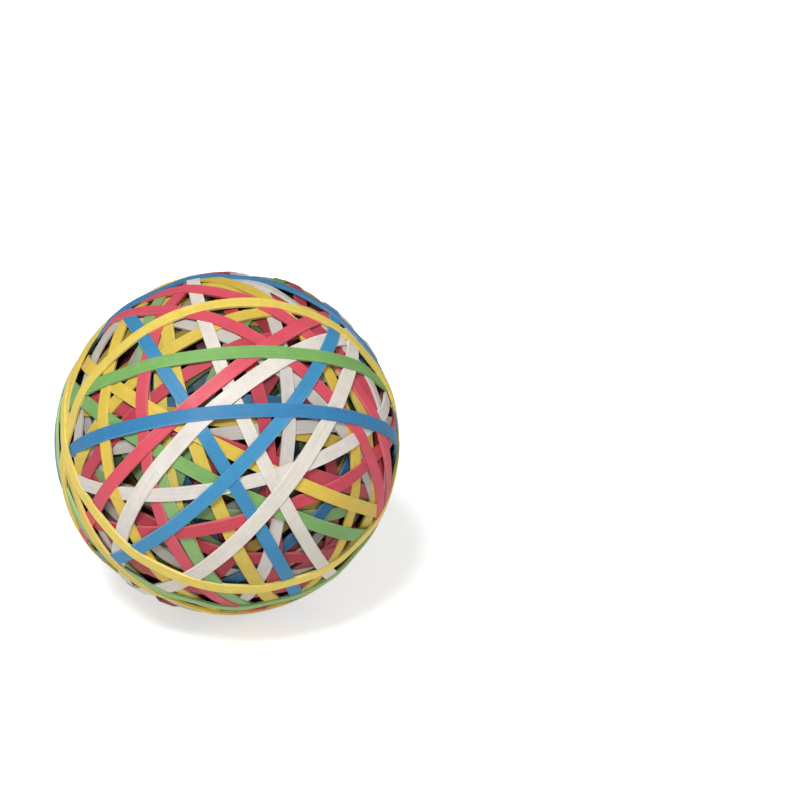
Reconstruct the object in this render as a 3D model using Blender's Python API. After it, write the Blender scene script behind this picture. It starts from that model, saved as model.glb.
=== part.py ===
"""A rubber band ball: loose rubber bands stretched over one another until they make a round ball.

Every band is one flat loop that goes right round the ball. The loops are described in the order in
which they lie, from the last one wound on, which shows whole, down to the deepest. Each loop runs at
the ball's surface where nothing covers it and dips under the loops that were wound on after it.
"""
import math

import bmesh
import bpy
import numpy as np

# Driving sizes, in metres
BALL_DIAMETER = 0.083
BAND_WIDTH = 0.0032
WIDE_BAND_WIDTH = 0.0037
BAND_THICKNESS = 0.00065
LAYER_GAP = 0.0003

# Each band that is wound on makes the ball this much larger in radius
GROWTH_PER_BAND = 0.00002

# The slopes and rises below are seen from the front by someone who looks down on the ball this much
VIEW_TILT = math.radians(28)

# How finely a loop is drawn: straight runs in a loop, looks along a run, and looks across a band
RUNS = 44
LOOKS_ALONG = 12
LOOKS_ACROSS = 7

# A stretched band climbs out of a dip no more steeply than this
STEEPEST_CLIMB = 0.6

# A loop's straight runs are lowered in rounds, each clearing this share of what is still in the way
PRESS_ROUNDS = 100
PRESS_SHARE = 0.45

# A loop is laid this often, because a deeper loop spreads wider under the bands over it
SETTLING_ROUNDS = 3

# How finely the wound mass beneath the bands is drawn
INNER_SUBDIVISIONS = 4

# Base colour in linear light, and how rough the rubber is
RUBBER_ROUGHNESS = 0.62
COLOURS = {
    "yellow": (0.82, 0.59, 0.10),
    "green": (0.19, 0.46, 0.13),
    "blue": (0.045, 0.30, 0.64),
    "white": (0.76, 0.70, 0.63),
    "red": (0.72, 0.065, 0.12),
    "inner": (0.16, 0.09, 0.08),
}

# One row for each band, from the outermost to the deepest: its colour, the slope of its nearest
# stretch (degrees, rising to the right), how far the circle round the ball's middle that it follows
# passes above that middle there (degrees, below where negative), and how far above that circle it
# lies all round, held by its grip (degrees). The white bands marked wide are of the broader kind.
WINDING = [
    ("yellow", -23, -63, 9),
    ("yellow", 20, 60, -9),
    ("yellow", -65, -69, 0),
    ("green", -23, -70, 0),
    ("blue", -6, 74, 0),
    ("blue", 4, 16, -6),
    ("green", 5, 20, 10),
    ("white", 52, -19, -5, "wide"),
    ("blue", 47, -14, 6),
    ("white", 44, 22, -11, "wide"),
    ("red", 41, 10, 7),
    ("red", -39, 47, 4),
    ("red", -36, 36, 0),
    ("white", -65, -6, 14),
    ("blue", -59, 2, -7),
    ("yellow", -78, -37, -6),
    ("white", 12, -22, 8),
    ("red", -82, -34, 6),
    ("yellow", -27, -6, 4),
    ("green", -27, -8, -5),
    ("red", 15, -23, -4),
    ("yellow", -71, 51, -6),
    ("yellow", 36, 38, 0),
    ("white", -51, 63, 0),
    ("green", -75, -25, 0),
    ("yellow", -71, -10, 0),
    ("white", 87, -20, 0),
    ("red", 33, 27, 0),
    ("yellow", -55, 52, 0),
    ("red", -54, 59, 0),
    ("white", -88, -61, 0),
    ("white", -36, 31, 0),
    ("blue", -42, 60, 0),
    ("red", -80, 13, 0),
    ("red", -19, -1, 0),
    ("yellow", -81, -21, 0),
    ("red", -25, -60, 0),
    ("red", -20, -38, 0),
    ("white", 6, 3, 0),
    ("yellow", -9, 7, 0),
    ("blue", 50, -42, 0),
    ("red", 69, -19, 0),
    ("yellow", -22, -59, 0),
    ("green", -8, -25, 0),
    ("white", -48, -46, 0),
    ("white", -23, -47, 0),
]

# Under those, further bands in these colours go where the ball is barest, which is found by trying
# this many loops, each covering this much to either side, against this many spots on the ball
FILLING_COLOURS = [
    "red", "green", "yellow", "blue", "white", "red",
    "yellow", "blue", "green", "red", "white", "yellow",
]
LOOPS_TRIED = 600
LOOP_COVER = math.radians(2.2)
SPOTS = 3000


def pole_of(slope, rise):
    """The direction square to a band's plane, from the way the band is seen to run."""
    right = np.array((1.0, 0.0, 0.0))
    up = np.array((0.0, math.sin(VIEW_TILT), math.cos(VIEW_TILT)))
    toward = np.array((0.0, -math.cos(VIEW_TILT), math.sin(VIEW_TILT)))
    slope = math.radians(slope)
    rise = math.radians(rise)
    upward = math.cos(slope) * up - math.sin(slope) * right
    return math.cos(rise) * upward - math.sin(rise) * toward


class Band:
    """One loop: where it lies on the ball, and how far from the ball's middle each part of it runs.

    Its middle line keeps one angle, the lean, to the plane through the ball's middle square to its pole.
    """

    def __init__(self, colour, pole, lean, width, bands_over_it):
        self.colour = colour
        self.width = width
        self.pole = pole
        self.lean = lean
        helper = np.eye(3)[np.argmin(np.abs(self.pole))]
        self.across = np.cross(helper, self.pole)
        self.across /= np.linalg.norm(self.across)
        self.along = np.cross(self.pole, self.across)
        self.highest = BALL_DIAMETER / 2 - bands_over_it * GROWTH_PER_BAND
        self.corners = np.full(RUNS, self.highest)
        self.outside = np.full(RUNS * LOOKS_ALONG, self.highest)

    def directions(self, angles):
        """The middle line's directions from the ball's middle, at these angles round the pole."""
        ring = np.outer(np.cos(angles), self.across) + np.outer(np.sin(angles), self.along)
        return math.cos(self.lean) * ring + math.sin(self.lean) * self.pole

    def sideways(self, directions):
        """From each of these directions on the middle line, the way straight across the band."""
        return (self.pole - math.sin(self.lean) * directions) / math.cos(self.lean)

    def off_middle(self, directions):
        """How far to the side of the middle line each direction points, as an angle."""
        return np.arcsin(directions @ self.pole) - self.lean

    def radius_towards(self, directions):
        """Radius of the band's outer face at the angle, round its loop, of each direction."""
        angles = np.arctan2(directions @ self.along, directions @ self.across) % (2 * math.pi)
        marks = np.linspace(0, 2 * math.pi, len(self.outside) + 1)
        return np.interp(angles, marks, np.append(self.outside, self.outside[0]))


def radii_along_runs(corners):
    """Radii at every look along the straight runs that join corners of these radii."""
    turn = 2 * math.pi / len(corners)
    part = np.arange(LOOKS_ALONG) * turn / LOOKS_ALONG
    start = corners[:, None]
    end = np.roll(corners, -1)[:, None]
    return start * end * math.sin(turn) / (start * np.sin(part) + end * np.sin(turn - part))


def room_under(upper_bands, band):
    """The largest radius that a band may have, at every look round it, to pass under the others."""
    looks = RUNS * LOOKS_ALONG
    middle_line = band.directions(np.arange(looks) * 2 * math.pi / looks)
    room = np.full(looks, band.highest)
    for offset in np.linspace(-band.width / 2, band.width / 2, LOOKS_ACROSS):
        points = middle_line * band.outside[:, None] + offset * band.sideways(middle_line)
        directions = points / np.linalg.norm(points, axis=1)[:, None]
        for upper in upper_bands:
            radius = upper.radius_towards(directions)
            beneath = np.abs(upper.off_middle(directions)) * radius <= (upper.width + LAYER_GAP) / 2
            underside = radius - BAND_THICKNESS - LAYER_GAP
            room = np.where(beneath, np.minimum(room, underside), room)
    return room


def pressed_corners(room):
    """Corner radii of a full loop of straight runs that stays within the room and is taut."""
    corners = room[:, 0].copy()
    highest_step = STEEPEST_CLIMB * math.pi * BALL_DIAMETER / RUNS
    runs = np.arange(RUNS)
    for _ in range(PRESS_ROUNDS):
        excess = radii_along_runs(corners) - room
        worst = excess.argmax(axis=1)
        push = PRESS_SHARE * np.maximum(excess[runs, worst], 0)
        part = worst / LOOKS_ALONG
        nearer = (1 - part) / (part**2 + (1 - part) ** 2)
        farther = part / (part**2 + (1 - part) ** 2)
        corners -= np.maximum(push * nearer, np.roll(push * farther, 1))
        for side in (1, -1):
            corners = np.minimum(corners, np.roll(corners, side) + highest_step)
    return corners


def lay_band(band, upper_bands):
    """Lets a band rise until it meets the ones over it."""
    for _ in range(SETTLING_ROUNDS):
        band.corners = pressed_corners(room_under(upper_bands, band).reshape(RUNS, LOOKS_ALONG))
        band.outside = radii_along_runs(band.corners).reshape(-1)


def spread_directions(count, height):
    """Directions spread evenly from the top of a ball down to this height, along a spiral."""
    steps = np.arange(count) + 0.5
    level = 1 - (1 - height) * steps / count
    turn = steps * math.pi * (3 - math.sqrt(5))
    flat = np.sqrt(1 - level**2)
    return np.stack((flat * np.cos(turn), flat * np.sin(turn), level), axis=1)


def wind_ball():
    """All bands, from the outermost inwards."""
    bands = []
    for colour, slope, rise, above, *kind in WINDING:
        width = WIDE_BAND_WIDTH if kind else BAND_WIDTH
        band = Band(colour, pole_of(slope, rise), math.radians(above), width, len(bands))
        lay_band(band, bands)
        bands.append(band)
    bare = spread_directions(SPOTS, -1)
    for band in bands:
        bare = bare[np.abs(band.off_middle(bare)) > LOOP_COVER]
    poles = spread_directions(LOOPS_TRIED, 0)
    for colour in FILLING_COLOURS:
        barest = max(poles, key=lambda pole: (np.abs(bare @ pole) <= math.sin(LOOP_COVER)).sum())
        band = Band(colour, barest, 0, BAND_WIDTH, len(bands))
        bare = bare[np.abs(band.off_middle(bare)) > LOOP_COVER]
        lay_band(band, bands)
        bands.append(band)
    return bands


def rubber(name):
    """A matt rubber of one colour."""
    material = bpy.data.materials.new(name + "_rubber")
    material.use_nodes = True
    shader = material.node_tree.nodes["Principled BSDF"]
    shader.inputs["Base Color"].default_value = (*COLOURS[name], 1)
    shader.inputs["Roughness"].default_value = RUBBER_ROUGHNESS
    shader.inputs["Metallic"].default_value = 0
    return material


def place(name, shape, material):
    """Puts a finished shape in the scene as one named object."""
    mesh = bpy.data.meshes.new(name)
    shape.to_mesh(mesh)
    shape.free()
    mesh.materials.append(material)
    item = bpy.data.objects.new(name, mesh)
    bpy.context.scene.collection.objects.link(item)
    return item


def make_band(name, band, material):
    """A closed loop of rectangular section: outer face, inner face and two edges."""
    shape = bmesh.new()
    angles = np.arange(RUNS) * 2 * math.pi / RUNS
    sections = []
    for direction, radius in zip(band.directions(angles), band.corners):
        inner = direction * (radius - BAND_THICKNESS)
        outer = direction * radius
        edge = band.sideways(direction) * band.width / 2
        corners = (inner - edge, outer - edge, outer + edge, inner + edge)
        sections.append([shape.verts.new(corner) for corner in corners])
    for section, following in zip(sections, sections[1:] + sections[:1]):
        for side in range(4):
            nearer, farther = side, (side + 1) % 4
            shape.faces.new((section[nearer], following[nearer], following[farther], section[farther]))
    bmesh.ops.recalc_face_normals(shape, faces=shape.faces)
    return place(name, shape, material)


def lowest_near(band, directions, reach):
    """The least radius of a band's outer face within this angle, along its loop, of each direction."""
    lowest = band.radius_towards(directions)
    for turn in np.linspace(-reach, reach, LOOKS_ACROSS):
        turned = math.cos(turn) * directions + math.sin(turn) * np.cross(band.pole, directions)
        lowest = np.minimum(lowest, band.radius_towards(turned))
    return lowest


def make_inner_winding(bands, material):
    """The wound bands beneath the ones that show, as one mass dented by every band that crosses it."""
    shape = bmesh.new()
    bmesh.ops.create_icosphere(shape, subdivisions=INNER_SUBDIVISIONS, radius=1)
    spacing = max(edge.calc_length() for edge in shape.edges)
    directions = np.array([vert.co[:] for vert in shape.verts])
    directions /= np.linalg.norm(directions, axis=1)[:, None]
    radius = np.full(len(directions), BALL_DIAMETER / 2 - BAND_THICKNESS - LAYER_GAP)
    for band in bands:
        lowest = lowest_near(band, directions, spacing)
        away = np.abs(band.off_middle(directions)) > band.width / 2 / lowest + spacing
        underside = lowest - BAND_THICKNESS - LAYER_GAP
        radius = np.where(away, radius, np.minimum(radius, underside))
    for vert, direction, distance in zip(shape.verts, directions, radius):
        vert.co = direction * distance
    return place("inner_winding", shape, material)


def main():
    for item in list(bpy.data.objects):
        bpy.data.objects.remove(item, do_unlink=True)
    rubbers = {name: rubber(name) for name in COLOURS}
    bands = wind_ball()
    for number, band in enumerate(bands, 1):
        make_band(f"{band.colour}_band_{number:02d}", band, rubbers[band.colour])
    make_inner_winding(bands, rubbers["inner"])


main()
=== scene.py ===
import math

import bpy
import numpy as np
from mathutils import Matrix, Vector


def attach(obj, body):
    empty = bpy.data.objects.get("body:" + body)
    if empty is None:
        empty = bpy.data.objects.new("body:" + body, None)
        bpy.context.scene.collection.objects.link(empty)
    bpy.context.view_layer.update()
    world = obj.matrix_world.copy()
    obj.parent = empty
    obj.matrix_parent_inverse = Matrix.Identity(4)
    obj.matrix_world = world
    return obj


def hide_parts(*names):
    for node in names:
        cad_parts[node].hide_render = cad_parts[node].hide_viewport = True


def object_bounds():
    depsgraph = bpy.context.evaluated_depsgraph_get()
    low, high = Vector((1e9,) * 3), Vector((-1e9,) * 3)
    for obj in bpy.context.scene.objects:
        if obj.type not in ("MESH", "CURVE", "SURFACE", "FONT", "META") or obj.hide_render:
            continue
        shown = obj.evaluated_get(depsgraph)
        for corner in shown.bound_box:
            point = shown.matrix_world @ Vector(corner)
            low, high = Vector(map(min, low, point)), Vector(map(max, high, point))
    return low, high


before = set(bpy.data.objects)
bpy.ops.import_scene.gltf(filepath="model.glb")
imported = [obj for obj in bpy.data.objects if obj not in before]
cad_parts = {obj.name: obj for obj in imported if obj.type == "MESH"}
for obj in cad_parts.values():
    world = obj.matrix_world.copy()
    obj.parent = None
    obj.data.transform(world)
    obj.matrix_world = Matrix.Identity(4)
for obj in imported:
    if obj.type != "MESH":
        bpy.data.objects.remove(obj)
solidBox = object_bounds()
floorHeight = solidBox[0].z
ballRadius = max(abs(value) for corner in solidBox for value in corner)
print("frame loaded with", len(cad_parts), "solids")


# The winding: every band is a flat loop that lies taut over the ones wound on before it
winding = {
    "cuts": 240,              # places round a loop where its height is worked out
    "thickness": 0.00072,     # of one band
    "squeeze": 0.00026,       # how far a band presses into the one under it
    "softening": (1, 2, 3, 4, 3, 2, 1),  # how gently a band bends over what it lies on
    "buriedBands": 42,        # bands beneath the ones that show
    "buriedWidth": 0.0031,
    "drift": 0.00022,         # how far a band strays sideways from its line
    "strayWaves": ((2, 0.6), (3, 0.4)),  # each as waves round the loop and share of the drift
    "feelers": (-0.95, -0.5, 0, 0.5, 0.95),  # where across its width a band feels what lies under it
    "coreShare": 0.84,        # the tangled middle, as a share of the ball's radius
    "waves": 11,              # bands go where the ball is low: how fine the lumps are that this evens out
    "spots": 6000,            # where the ball's lumps are measured
    "pressedFrom": 0.0007,    # what stands higher than this under the ball's radius is pressed flatter
    "peaksLeft": 97,          # of the shown bands' heights, this many in a hundred lie under that radius
    "seed": 41,
}
wholeTurn = 2 * math.pi
draw = np.random.default_rng(winding["seed"])
turns = np.arange(winding["cuts"]) * wholeTurn / winding["cuts"]


def unit(vector):
    return vector / np.linalg.norm(vector)


def newLoop(name, colour, pole, lean, width):
    # one band's line on the ball and its gentle stray from it; heights come when it is wound on.
    # lean is the line's angle to the plane through the ball's middle that is square to the pole
    side = np.sign(pole[np.argmax(np.abs(pole))])
    pole = unit(pole) * side
    across = unit(np.cross(np.eye(3)[np.argmin(np.abs(pole))], pole))
    phases = draw.uniform(0, wholeTurn, len(winding["strayWaves"]))
    stray = sum(
        share * np.sin(count * turns + phase)
        for (count, share), phase in zip(winding["strayWaves"], phases)
    )
    return {
        "name": name,
        "colour": colour,
        "pole": pole,
        "lean": lean * side,
        "across": across,
        "along": np.cross(pole, across),
        "width": width,
        "stray": stray * winding["drift"],
        "tone": draw.uniform(),
    }


def readLoop(name, node):
    # the line, width and colour of a band, read from its solid
    corners = np.unique(np.array([corner.co[:] for corner in node.data.vertices]).round(6), axis=0)
    distances = np.linalg.norm(corners, axis=1)
    aims = corners / distances[:, None]
    middle = aims.mean(axis=0)
    pole = np.linalg.eigh(np.cov(aims.T))[1][:, 0]
    lean = math.asin(middle @ pole)
    halfWidths = distances * np.sin(np.abs(np.arcsin(aims @ pole) - lean))
    return newLoop(name, name.split("_")[0], pole, lean, 2 * halfWidths.mean())


def windingOrder(name):
    # bands are numbered from the last one wound on, inwards
    return -int(name.split("_")[-1])


def heightsUnder(laid, directions, bottom):
    # how far the outside of the bands laid so far reaches in each direction
    reach = np.full(len(directions), bottom)
    if not laid:
        return reach
    poles = np.array([band["pole"] for band in laid])
    leans = np.array([band["lean"] for band in laid])
    halves = np.array([band["width"] for band in laid]) / 2
    slant = np.arcsin(np.clip(directions @ poles.T, -1, 1)) - leans
    spot, number = np.nonzero(np.abs(slant) * bottom < halves + winding["drift"])
    acrossAxes = np.array([band["across"] for band in laid])[number]
    alongAxes = np.array([band["along"] for band in laid])[number]
    aim = directions[spot]
    angle = np.arctan2((aim * alongAxes).sum(1), (aim * acrossAxes).sum(1)) % wholeTurn
    place = angle * winding["cuts"] / wholeTurn
    cut = place.astype(int) % winding["cuts"]
    nextCut = (cut + 1) % winding["cuts"]
    part = place - place.astype(int)
    edges = []
    for edge in ("lowEdge", "highEdge", "stray"):
        values = np.array([band[edge] for band in laid])
        edges.append(values[number, cut] * (1 - part) + values[number, nextCut] * part)
    middle = (edges[0] + edges[1]) / 2
    share = (slant[spot, number] * middle - edges[2]) / halves[number]
    radius = middle + (edges[1] - edges[0]) / 2 * share
    inside = np.abs(share) <= 1
    np.maximum.at(reach, spot[inside], radius[inside])
    return reach


def tautLoop(support):
    # the shortest loop round these heights, as a stretched band takes
    count = len(support)
    points = np.stack((support * np.cos(turns), support * np.sin(turns)), axis=1)
    start = int(np.argmax(support))
    kept = [start]
    for step in range(1, count + 1):
        corner = (start + step) % count
        while len(kept) > 1:
            first, second = points[kept[-2]], points[kept[-1]]
            bend = (second[0] - first[0]) * (points[corner][1] - second[1])
            bend -= (second[1] - first[1]) * (points[corner][0] - second[0])
            if bend > 0:
                break
            kept.pop()
        kept.append(corner)
    radius = support.copy()
    for first, second in zip(kept, kept[1:]):
        span = (second - first) % count
        whole = span * wholeTurn / count
        part = np.arange(1, span) * wholeTurn / count
        chord = support[first] * np.sin(part) + support[second] * np.sin(whole - part)
        between = (first + np.arange(1, span)) % count
        radius[between] = support[first] * support[second] * math.sin(whole) / chord
    return radius


def softened(radius):
    # rubber bends over an edge in a small curve
    weights = np.array(winding["softening"], float)
    reach = len(weights) // 2
    shifted = [np.roll(radius, place - reach) * weight for place, weight in enumerate(weights)]
    return sum(shifted) / weights.sum()


def ringOf(band, angles):
    # for each angle round the pole, the direction of the band's line, and the way across the band there
    flat = np.outer(np.cos(angles), band["across"]) + np.outer(np.sin(angles), band["along"])
    leanSine, leanCosine = math.sin(band["lean"]), math.cos(band["lean"])
    return leanCosine * flat + leanSine * band["pole"], leanCosine * band["pole"] - leanSine * flat


def spreadDirections(count, lowest):
    # evenly spread over the ball, from its top down to this height
    steps = np.arange(count) + 0.5
    level = 1 - (1 - lowest) * steps / count
    turn = steps * math.pi * (3 - math.sqrt(5))
    flat = np.sqrt(1 - level ** 2)
    return np.stack((flat * np.cos(turn), flat * np.sin(turn), level), axis=1)


def wavesOver(directions):
    # smooth waves over a ball, from which its broad lumps can be put together
    x, y, z = directions.T
    powers = [
        (first, second, total - first - second)
        for total in (winding["waves"] - 1, winding["waves"])
        for first in range(total + 1)
        for second in range(total + 1 - first)
    ]
    return np.stack([x ** first * y ** second * z ** third for first, second, third in powers], axis=1)


def evenOut(laid, bottom):
    # takes the broad lumps out of the ball, presses flatter what still stands up, and says how far it rose
    spots = spreadDirections(winding["spots"], -1)
    surface = heightsUnder(laid, spots, bottom)
    waves = np.linalg.lstsq(wavesOver(spots), surface, rcond=None)[0]
    for band in laid:
        lump = wavesOver(ringOf(band, turns)[0]) @ waves - surface.mean()
        band["lowEdge"] = band["lowEdge"] - lump
        band["highEdge"] = band["highEdge"] - lump
    lastWound = laid[-(len(shownLoops) // 2):]
    outer = np.concatenate([band["highEdge"] for band in lastWound])
    rise = ballRadius - np.percentile(outer, winding["peaksLeft"])
    knee = winding["pressedFrom"]
    for band in laid:
        for edge in ("lowEdge", "highEdge"):
            radius = band[edge] + rise
            above = np.maximum(radius - (ballRadius - knee), 0)
            band[edge] = radius - above + knee * (1 - np.exp(-above / knee))
    return rise


def windOn(band, laid, bottom):
    # lays one band over the others, each of its two edges at its own height
    line, side = ringOf(band, turns)
    supports = []
    for share in winding["feelers"]:
        offset = share * band["width"] / 2 + band["stray"]
        points = line * ballRadius + side * offset[:, None]
        directions = points / np.linalg.norm(points, axis=1)[:, None]
        supports.append(heightsUnder(laid, directions, bottom) - winding["squeeze"])
    half = len(supports) // 2
    for edge, touched in (("lowEdge", supports[:half + 1]), ("highEdge", supports[half:])):
        band[edge] = softened(tautLoop(np.max(touched, axis=0))) + winding["thickness"]
    laid.append(band)


bandNames = sorted((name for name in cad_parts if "_band_" in name), key=windingOrder)
shownLoops = [readLoop(name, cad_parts[name]) for name in bandNames]

buriedColours = ("red", "green", "yellow", "blue", "white")
buriedShares = (0.40, 0.24, 0.12, 0.16, 0.08)
buriedLoops = []
for pole in draw.permutation(spreadDirections(winding["buriedBands"], 0)):
    colour = str(draw.choice(buriedColours, p=buriedShares))
    buriedLoops.append(newLoop("buried", colour, pole, 0, winding["buriedWidth"]))

laid = []
coreRadius = ballRadius * winding["coreShare"]
for band in buriedLoops + shownLoops:
    windOn(band, laid, coreRadius)
for number, band in enumerate(laid):
    band["depth"] = 1 - number / len(laid)
coreRadius += evenOut(laid, coreRadius)
print("bands wound:", len(laid), "on a middle of", round(coreRadius * 1000, 1), "mm")


# Rubber: a matt colour that differs a little from band to band, with lengthwise grain, pale cut edges that
# are partly a painted highlight, and painted shade on the deeper bands
rubberColours = {
    # colour: (darker bands, lighter bands, roughness)
    "yellow": ((0.80, 0.55, 0.065), (0.91, 0.73, 0.15), 0.50),
    "green": ((0.18, 0.42, 0.10), (0.35, 0.58, 0.23), 0.52),
    "blue": ((0.028, 0.185, 0.41), (0.055, 0.30, 0.55), 0.50),
    "white": ((0.78, 0.73, 0.68), (0.77, 0.71, 0.62), 0.55),
    "red": ((0.64, 0.048, 0.078), (0.74, 0.095, 0.135), 0.50),
}
rubberLook = {
    "grainAlong": 55,
    "grainAcross": 2300,
    "grainShade": (0.90, 1.04),
    "grainDepth": 0.00003,
    "grainStrength": 0.35,
    "mottle": 420,
    "mottleShade": (0.93, 1.05),
    "roughnessSpread": (-0.07, 0.09),
    "shine": 0.32,
    "dust": 2200,
    "dustColour": (0.86, 0.83, 0.80),
    "mostDust": 0.07,
    "paleEdgeAndHighlight": (0.00142, 0.00160),  # how far from a band's middle its cut edge starts to be paler, partly as a painted highlight, and is at its palest
    "paleEdgeAndHighlightColour": (0.90, 0.87, 0.83),
    "mostPaleEdgeAndHighlight": 0.10,
    "ageAndPaintedShade": (0.12, 0.76),   # deeper bands are darker, painted shade from the bands over them with some dulling by age: where this starts and ends, last wound to first
    "deepestColourKept": 0.08,           # how much of their colour the deepest ones keep under this painted shade
}


def addNode(tree, kind, **settings):
    node = tree.nodes.new("ShaderNode" + kind)
    for name, value in settings.items():
        setattr(node, name, value)
    return node


def mixColour(tree, blendType, factor, first, second):
    # factor, first and second are each a value or a socket
    node = addNode(tree, "Mix", data_type="RGBA", blend_type=blendType)
    for socket, given in ((node.inputs[0], factor), (node.inputs[6], first), (node.inputs[7], second)):
        if isinstance(given, bpy.types.NodeSocket):
            tree.links.new(given, socket)
        elif isinstance(given, tuple):
            socket.default_value = (*given, 1)
        else:
            socket.default_value = given
    return node.outputs[2]


def mapRange(tree, socket, low, high, lowOut=0.0, highOut=1.0):
    node = addNode(tree, "MapRange")
    tree.links.new(socket, node.inputs[0])
    for number, value in zip((1, 2, 3, 4), (low, high, lowOut, highOut)):
        node.inputs[number].default_value = value
    return node.outputs[0]


def noise(tree, place, scale, detail, roughness=0.5):
    node = addNode(tree, "TexNoise")
    tree.links.new(place, node.inputs["Vector"])
    node.inputs["Scale"].default_value = scale
    node.inputs["Detail"].default_value = detail
    node.inputs["Roughness"].default_value = roughness
    return node.outputs[0]


def rubber(colour):
    darker, lighter, roughness = rubberColours[colour]
    material = bpy.data.materials.new(colour + "Rubber")
    material.use_nodes = True
    tree = material.node_tree
    shader = tree.nodes["Principled BSDF"]
    inBand = addNode(tree, "Attribute", attribute_name="bandPlace").outputs["Vector"]
    tone = addNode(tree, "Attribute", attribute_name="bandTone").outputs["Fac"]
    depth = addNode(tree, "Attribute", attribute_name="bandDepth").outputs["Fac"]
    onBall = addNode(tree, "TexCoord").outputs["Object"]

    stretch = addNode(tree, "Mapping")
    tree.links.new(inBand, stretch.inputs["Vector"])
    along, across = rubberLook["grainAlong"], rubberLook["grainAcross"]
    stretch.inputs["Scale"].default_value = (along, along, across)
    grain = noise(tree, stretch.outputs[0], 1, 3, 0.6)
    mottle = noise(tree, onBall, rubberLook["mottle"], 4, 0.6)
    dust = noise(tree, onBall, rubberLook["dust"], 3, 0.7)

    paint = mixColour(tree, "MIX", tone, darker, lighter)
    shade = mapRange(tree, grain, 0.3, 0.7, *rubberLook["grainShade"])
    paint = mixColour(tree, "MULTIPLY", 1.0, paint, shade)
    shade = mapRange(tree, mottle, 0.3, 0.7, *rubberLook["mottleShade"])
    paint = mixColour(tree, "MULTIPLY", 1.0, paint, shade)
    powder = mapRange(tree, dust, 0.55, 0.8, 0.0, rubberLook["mostDust"])
    paint = mixColour(tree, "MIX", powder, paint, rubberLook["dustColour"])

    # the cut edges are a little paler, partly a painted highlight as if their rounded corners caught the
    # light
    apart = addNode(tree, "SeparateXYZ")
    tree.links.new(inBand, apart.inputs[0])
    outward = addNode(tree, "Math", operation="ABSOLUTE")
    tree.links.new(apart.outputs[2], outward.inputs[0])
    paleEdgeAndHighlight = mapRange(tree, outward.outputs[0], *rubberLook["paleEdgeAndHighlight"], 0.0, rubberLook["mostPaleEdgeAndHighlight"])
    paint = mixColour(tree, "MIX", paleEdgeAndHighlight, paint, rubberLook["paleEdgeAndHighlightColour"])
    # painted shade: the deeper a band lies under the others, the darker it is made, partly as dulling with
    # age
    depthShadeAndAge = mapRange(tree, depth, *rubberLook["ageAndPaintedShade"], 1.0, rubberLook["deepestColourKept"])
    paint = mixColour(tree, "MULTIPLY", 1.0, paint, depthShadeAndAge)
    tree.links.new(paint, shader.inputs["Base Color"])

    shader.inputs["Specular IOR Level"].default_value = rubberLook["shine"]
    smoothest, roughest = (roughness + spread for spread in rubberLook["roughnessSpread"])
    tree.links.new(mapRange(tree, mottle, 0.3, 0.7, smoothest, roughest), shader.inputs["Roughness"])
    height = addNode(tree, "Math", operation="ADD")
    tree.links.new(grain, height.inputs[0])
    tree.links.new(dust, height.inputs[1])
    bump = addNode(tree, "Bump")
    bump.inputs["Strength"].default_value = rubberLook["grainStrength"]
    bump.inputs["Distance"].default_value = rubberLook["grainDepth"]
    tree.links.new(height.outputs[0], bump.inputs["Height"])
    tree.links.new(bump.outputs[0], shader.inputs["Normal"])
    return material


rubbers = {colour: rubber(colour) for colour in rubberColours}
print("rubber colours made:", len(rubbers))


# Band pieces: an open tube with the band's own heights, then a wall, and rounded edges on the bands that
# show
bandShape = {
    "rounding": 0.00013,      # of the cut edges
    "roundingSteps": 2,
    "roundedFrom": math.radians(50),  # a corner sharper than this is rounded
    "buriedEvery": 2,         # the buried bands keep one cut in this many
}


def selectOnly(item):
    bpy.ops.object.select_all(action="DESELECT")
    item.select_set(True)
    bpy.context.view_layer.objects.active = item


def applyModifier(item, kind, **settings):
    modifier = item.modifiers.new(kind.lower(), kind)
    for name, value in settings.items():
        setattr(modifier, name, value)
    bpy.ops.object.modifier_apply(modifier=modifier.name)


def readPlaces(item):
    places = np.empty(len(item.data.vertices) * 3)
    item.data.vertices.foreach_get("co", places)
    return places.reshape(-1, 3)


def bandPiece(name, band, cuts):
    bpy.ops.object.select_all(action="DESELECT")
    bpy.ops.mesh.primitive_cylinder_add(
        vertices=cuts, radius=ballRadius, depth=band["width"], end_fill_type="NOTHING", calc_uvs=False
    )
    piece = bpy.context.active_object
    piece.name = name
    piece.data.name = name
    places = readPlaces(piece)
    every = winding["cuts"] // cuts
    angle = np.arctan2(places[:, 1], places[:, 0])
    cut = np.round(angle * cuts / wholeTurn).astype(int) % cuts * every
    radius = np.where(places[:, 2] < 0, band["lowEdge"][cut], band["highEdge"][cut])
    aside = places[:, 2] + band["stray"][cut]
    line, side = ringOf(band, turns[cut])
    moved = line * radius[:, None] + side * aside[:, None]
    piece.data.vertices.foreach_set("co", moved.ravel())
    selectOnly(piece)
    applyModifier(piece, "SOLIDIFY", thickness=winding["thickness"], offset=-1, use_even_offset=True)
    if every == 1:
        applyModifier(
            piece, "BEVEL", width=bandShape["rounding"], segments=bandShape["roundingSteps"],
            limit_method="ANGLE", angle_limit=bandShape["roundedFrom"], harden_normals=True,
        )
    places = readPlaces(piece)
    axes = np.array((band["across"], band["along"], band["pole"]))
    inAxes = places @ axes.T
    distances = np.linalg.norm(places, axis=1)
    inAxes[:, 2] = distances * (np.arcsin(inAxes[:, 2] / distances) - band["lean"])
    inBand = piece.data.attributes.new("bandPlace", "FLOAT_VECTOR", "POINT")
    inBand.data.foreach_set("vector", inAxes.ravel())
    for label, value in (("bandTone", band["tone"]), ("bandDepth", band["depth"])):
        attribute = piece.data.attributes.new(label, "FLOAT", "POINT")
        attribute.data.foreach_set("value", np.full(len(places), value))
    piece.data.materials.append(rubbers[band["colour"]])
    return piece


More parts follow.
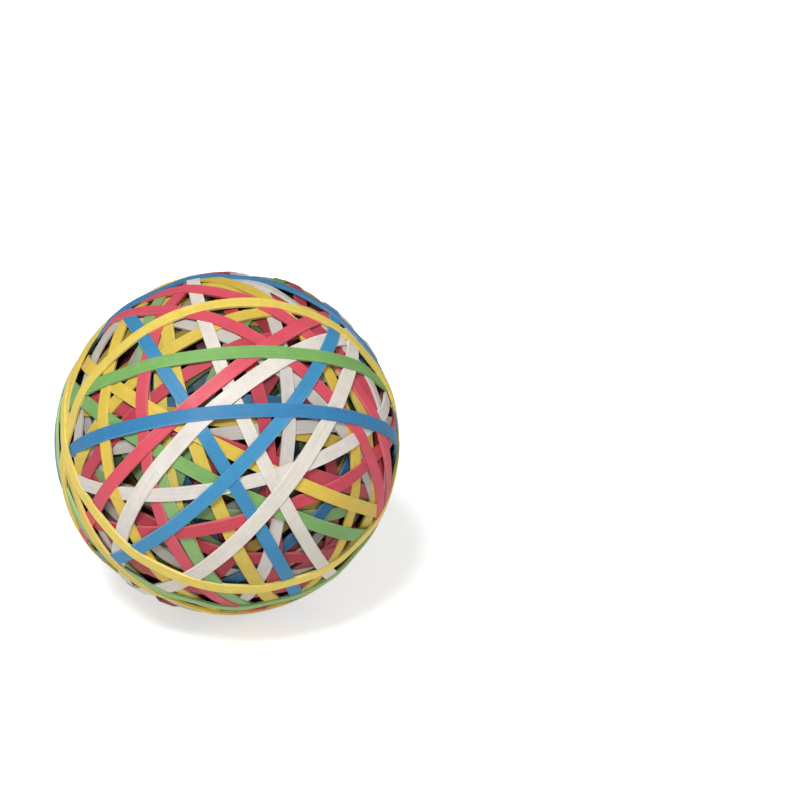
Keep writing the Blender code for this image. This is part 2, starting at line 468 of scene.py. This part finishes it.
for band in shownLoops:
    piece = bandPiece("outer_" + band["name"], band, winding["cuts"])
    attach(piece, "root")
    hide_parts(band["name"])
print("showing bands made:", len(shownLoops))

for colour in buriedColours:
    group = [
        bandPiece("buried_band", band, winding["cuts"] // bandShape["buriedEvery"])
        for band in buriedLoops if band["colour"] == colour
    ]
    bpy.ops.object.select_all(action="DESELECT")
    for piece in group:
        piece.select_set(True)
    bpy.context.view_layer.objects.active = group[0]
    bpy.ops.object.join()
    buried = bpy.context.active_object
    buried.name = f"buried_{colour}_bands"
    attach(buried, "root")
    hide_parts("inner_winding")
print("buried bands made:", len(buriedLoops))


# The tangled middle under all the bands, near black as painted shade for the deep gaps between them
core = {
    "detail": 5,
    "lumps": 160,
    # near-black colours: painted shade where the gaps between bands go deep
    "darker": (0.035, 0.014, 0.011),
    "lighter": (0.08, 0.025, 0.02),
    "roughness": 0.7,
}


def coreRubberPaintedShade():
    material = bpy.data.materials.new("coreRubberPaintedShade")
    material.use_nodes = True
    tree = material.node_tree
    shader = tree.nodes["Principled BSDF"]
    onBall = addNode(tree, "TexCoord").outputs["Object"]
    lumps = noise(tree, onBall, core["lumps"], 3)
    paint = mixColour(tree, "MIX", mapRange(tree, lumps, 0.35, 0.65), core["darker"], core["lighter"])
    tree.links.new(paint, shader.inputs["Base Color"])
    shader.inputs["Roughness"].default_value = core["roughness"]
    return material


bpy.ops.object.select_all(action="DESELECT")
bpy.ops.mesh.primitive_ico_sphere_add(subdivisions=core["detail"], radius=coreRadius, calc_uvs=False)
middle = bpy.context.active_object
middle.name = "tangled_middle"
middle.data.materials.append(coreRubberPaintedShade())
bpy.ops.object.shade_smooth()
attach(middle, "root")
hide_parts("inner_winding")
print("middle made")


# Floor, light and camera
stageLook = {
    "floorSide": 6.0,
    "floorColour": (0.86, 0.86, 0.86),
    "floorGlow": 0.58,        # lifts the floor to white for the camera
    "skyStrength": 0.25,
}


def floorPaint():
    material = bpy.data.materials.new("paleFloor")
    material.use_nodes = True
    tree = material.node_tree
    tree.nodes.clear()
    result = addNode(tree, "OutputMaterial")
    dull = addNode(tree, "BsdfDiffuse")
    dull.inputs["Color"].default_value = (*stageLook["floorColour"], 1)
    glow = addNode(tree, "Emission")
    glow.inputs["Strength"].default_value = stageLook["floorGlow"]
    both = addNode(tree, "AddShader")
    tree.links.new(dull.outputs[0], both.inputs[0])
    tree.links.new(glow.outputs[0], both.inputs[1])
    choose = addNode(tree, "MixShader")
    tree.links.new(addNode(tree, "LightPath").outputs["Is Camera Ray"], choose.inputs[0])
    tree.links.new(dull.outputs[0], choose.inputs[1])
    tree.links.new(both.outputs[0], choose.inputs[2])
    tree.links.new(choose.outputs[0], result.inputs[0])
    return material


bpy.ops.object.select_all(action="DESELECT")
bpy.ops.mesh.primitive_plane_add(size=stageLook["floorSide"], location=(0, 0, floorHeight))
floor = bpy.context.active_object
floor.name = "floor"
floor.data.materials.append(floorPaint())

sky = bpy.data.worlds.new("sky")
bpy.context.scene.world = sky
sky.use_nodes = True
skyTree = sky.node_tree
skyTree.nodes.clear()
skyResult = addNode(skyTree, "OutputWorld")
soft = addNode(skyTree, "Background")
soft.inputs["Color"].default_value = (1, 1, 1, 1)
soft.inputs["Strength"].default_value = stageLook["skyStrength"]
white = addNode(skyTree, "Background")
white.inputs["Color"].default_value = (1, 1, 1, 1)
white.inputs["Strength"].default_value = 1
chooseSky = addNode(skyTree, "MixShader")
skyTree.links.new(addNode(skyTree, "LightPath").outputs["Is Camera Ray"], chooseSky.inputs[0])
skyTree.links.new(soft.outputs[0], chooseSky.inputs[1])
skyTree.links.new(white.outputs[0], chooseSky.inputs[2])
skyTree.links.new(chooseSky.outputs[0], skyResult.inputs[0])

# name: (place, size in metres, watts)
lamps = {
    "keyLamp": ((-0.32, -0.66, 1.22), 0.44, 16.6),
    "fillLamp": ((0.9, -0.7, 0.6), 0.8, 2.4),
}
for name, (place, size, watts) in lamps.items():
    bpy.ops.object.light_add(type="AREA", location=place)
    lamp = bpy.context.active_object
    lamp.name = name
    lamp.data.shape = "DISK"
    lamp.data.size = size
    lamp.data.energy = watts
    lamp.rotation_mode = "QUATERNION"
    lamp.rotation_quaternion = (-Vector(place)).to_track_quat("-Z", "Y")

# Where the ball stands in the photograph, in its pixels, and from where it was taken
photo = {
    "side": 800,
    "ballAcross": 227.5,
    "ballDown": 442.8,
    "focalLength": 2985,
    "rise": math.radians(28),
    "distance": 0.7169,
    "sensor": 36,
    "nearest": 0.01,
    "farthest": 20,
}
middlePixel = photo["side"] / 2
backward = Vector((middlePixel - photo["ballAcross"], photo["ballDown"] - middlePixel, photo["focalLength"]))
backward.normalize()
rightward = (Vector((1, 0, 0)) - backward * backward.x).normalized()
upward = backward.cross(rightward)
toward = Vector((0, -math.cos(photo["rise"]), math.sin(photo["rise"])))
upright = Vector((0, math.sin(photo["rise"]), math.cos(photo["rise"])))
seen = Matrix((rightward, upward, backward))
stood = Matrix((Vector((1, 0, 0)), upright, toward)).transposed()
bpy.ops.object.camera_add(location=toward * photo["distance"])
camera = bpy.context.active_object
camera.rotation_mode = "QUATERNION"
camera.rotation_quaternion = (stood @ seen).to_quaternion()
camera.data.sensor_width = photo["sensor"]
camera.data.lens = photo["sensor"] * photo["focalLength"] / photo["side"]
camera.data.clip_start = photo["nearest"]
camera.data.clip_end = photo["farthest"]
bpy.context.scene.camera = camera
bpy.context.scene.view_settings.view_transform = "Standard"
print("stage ready")
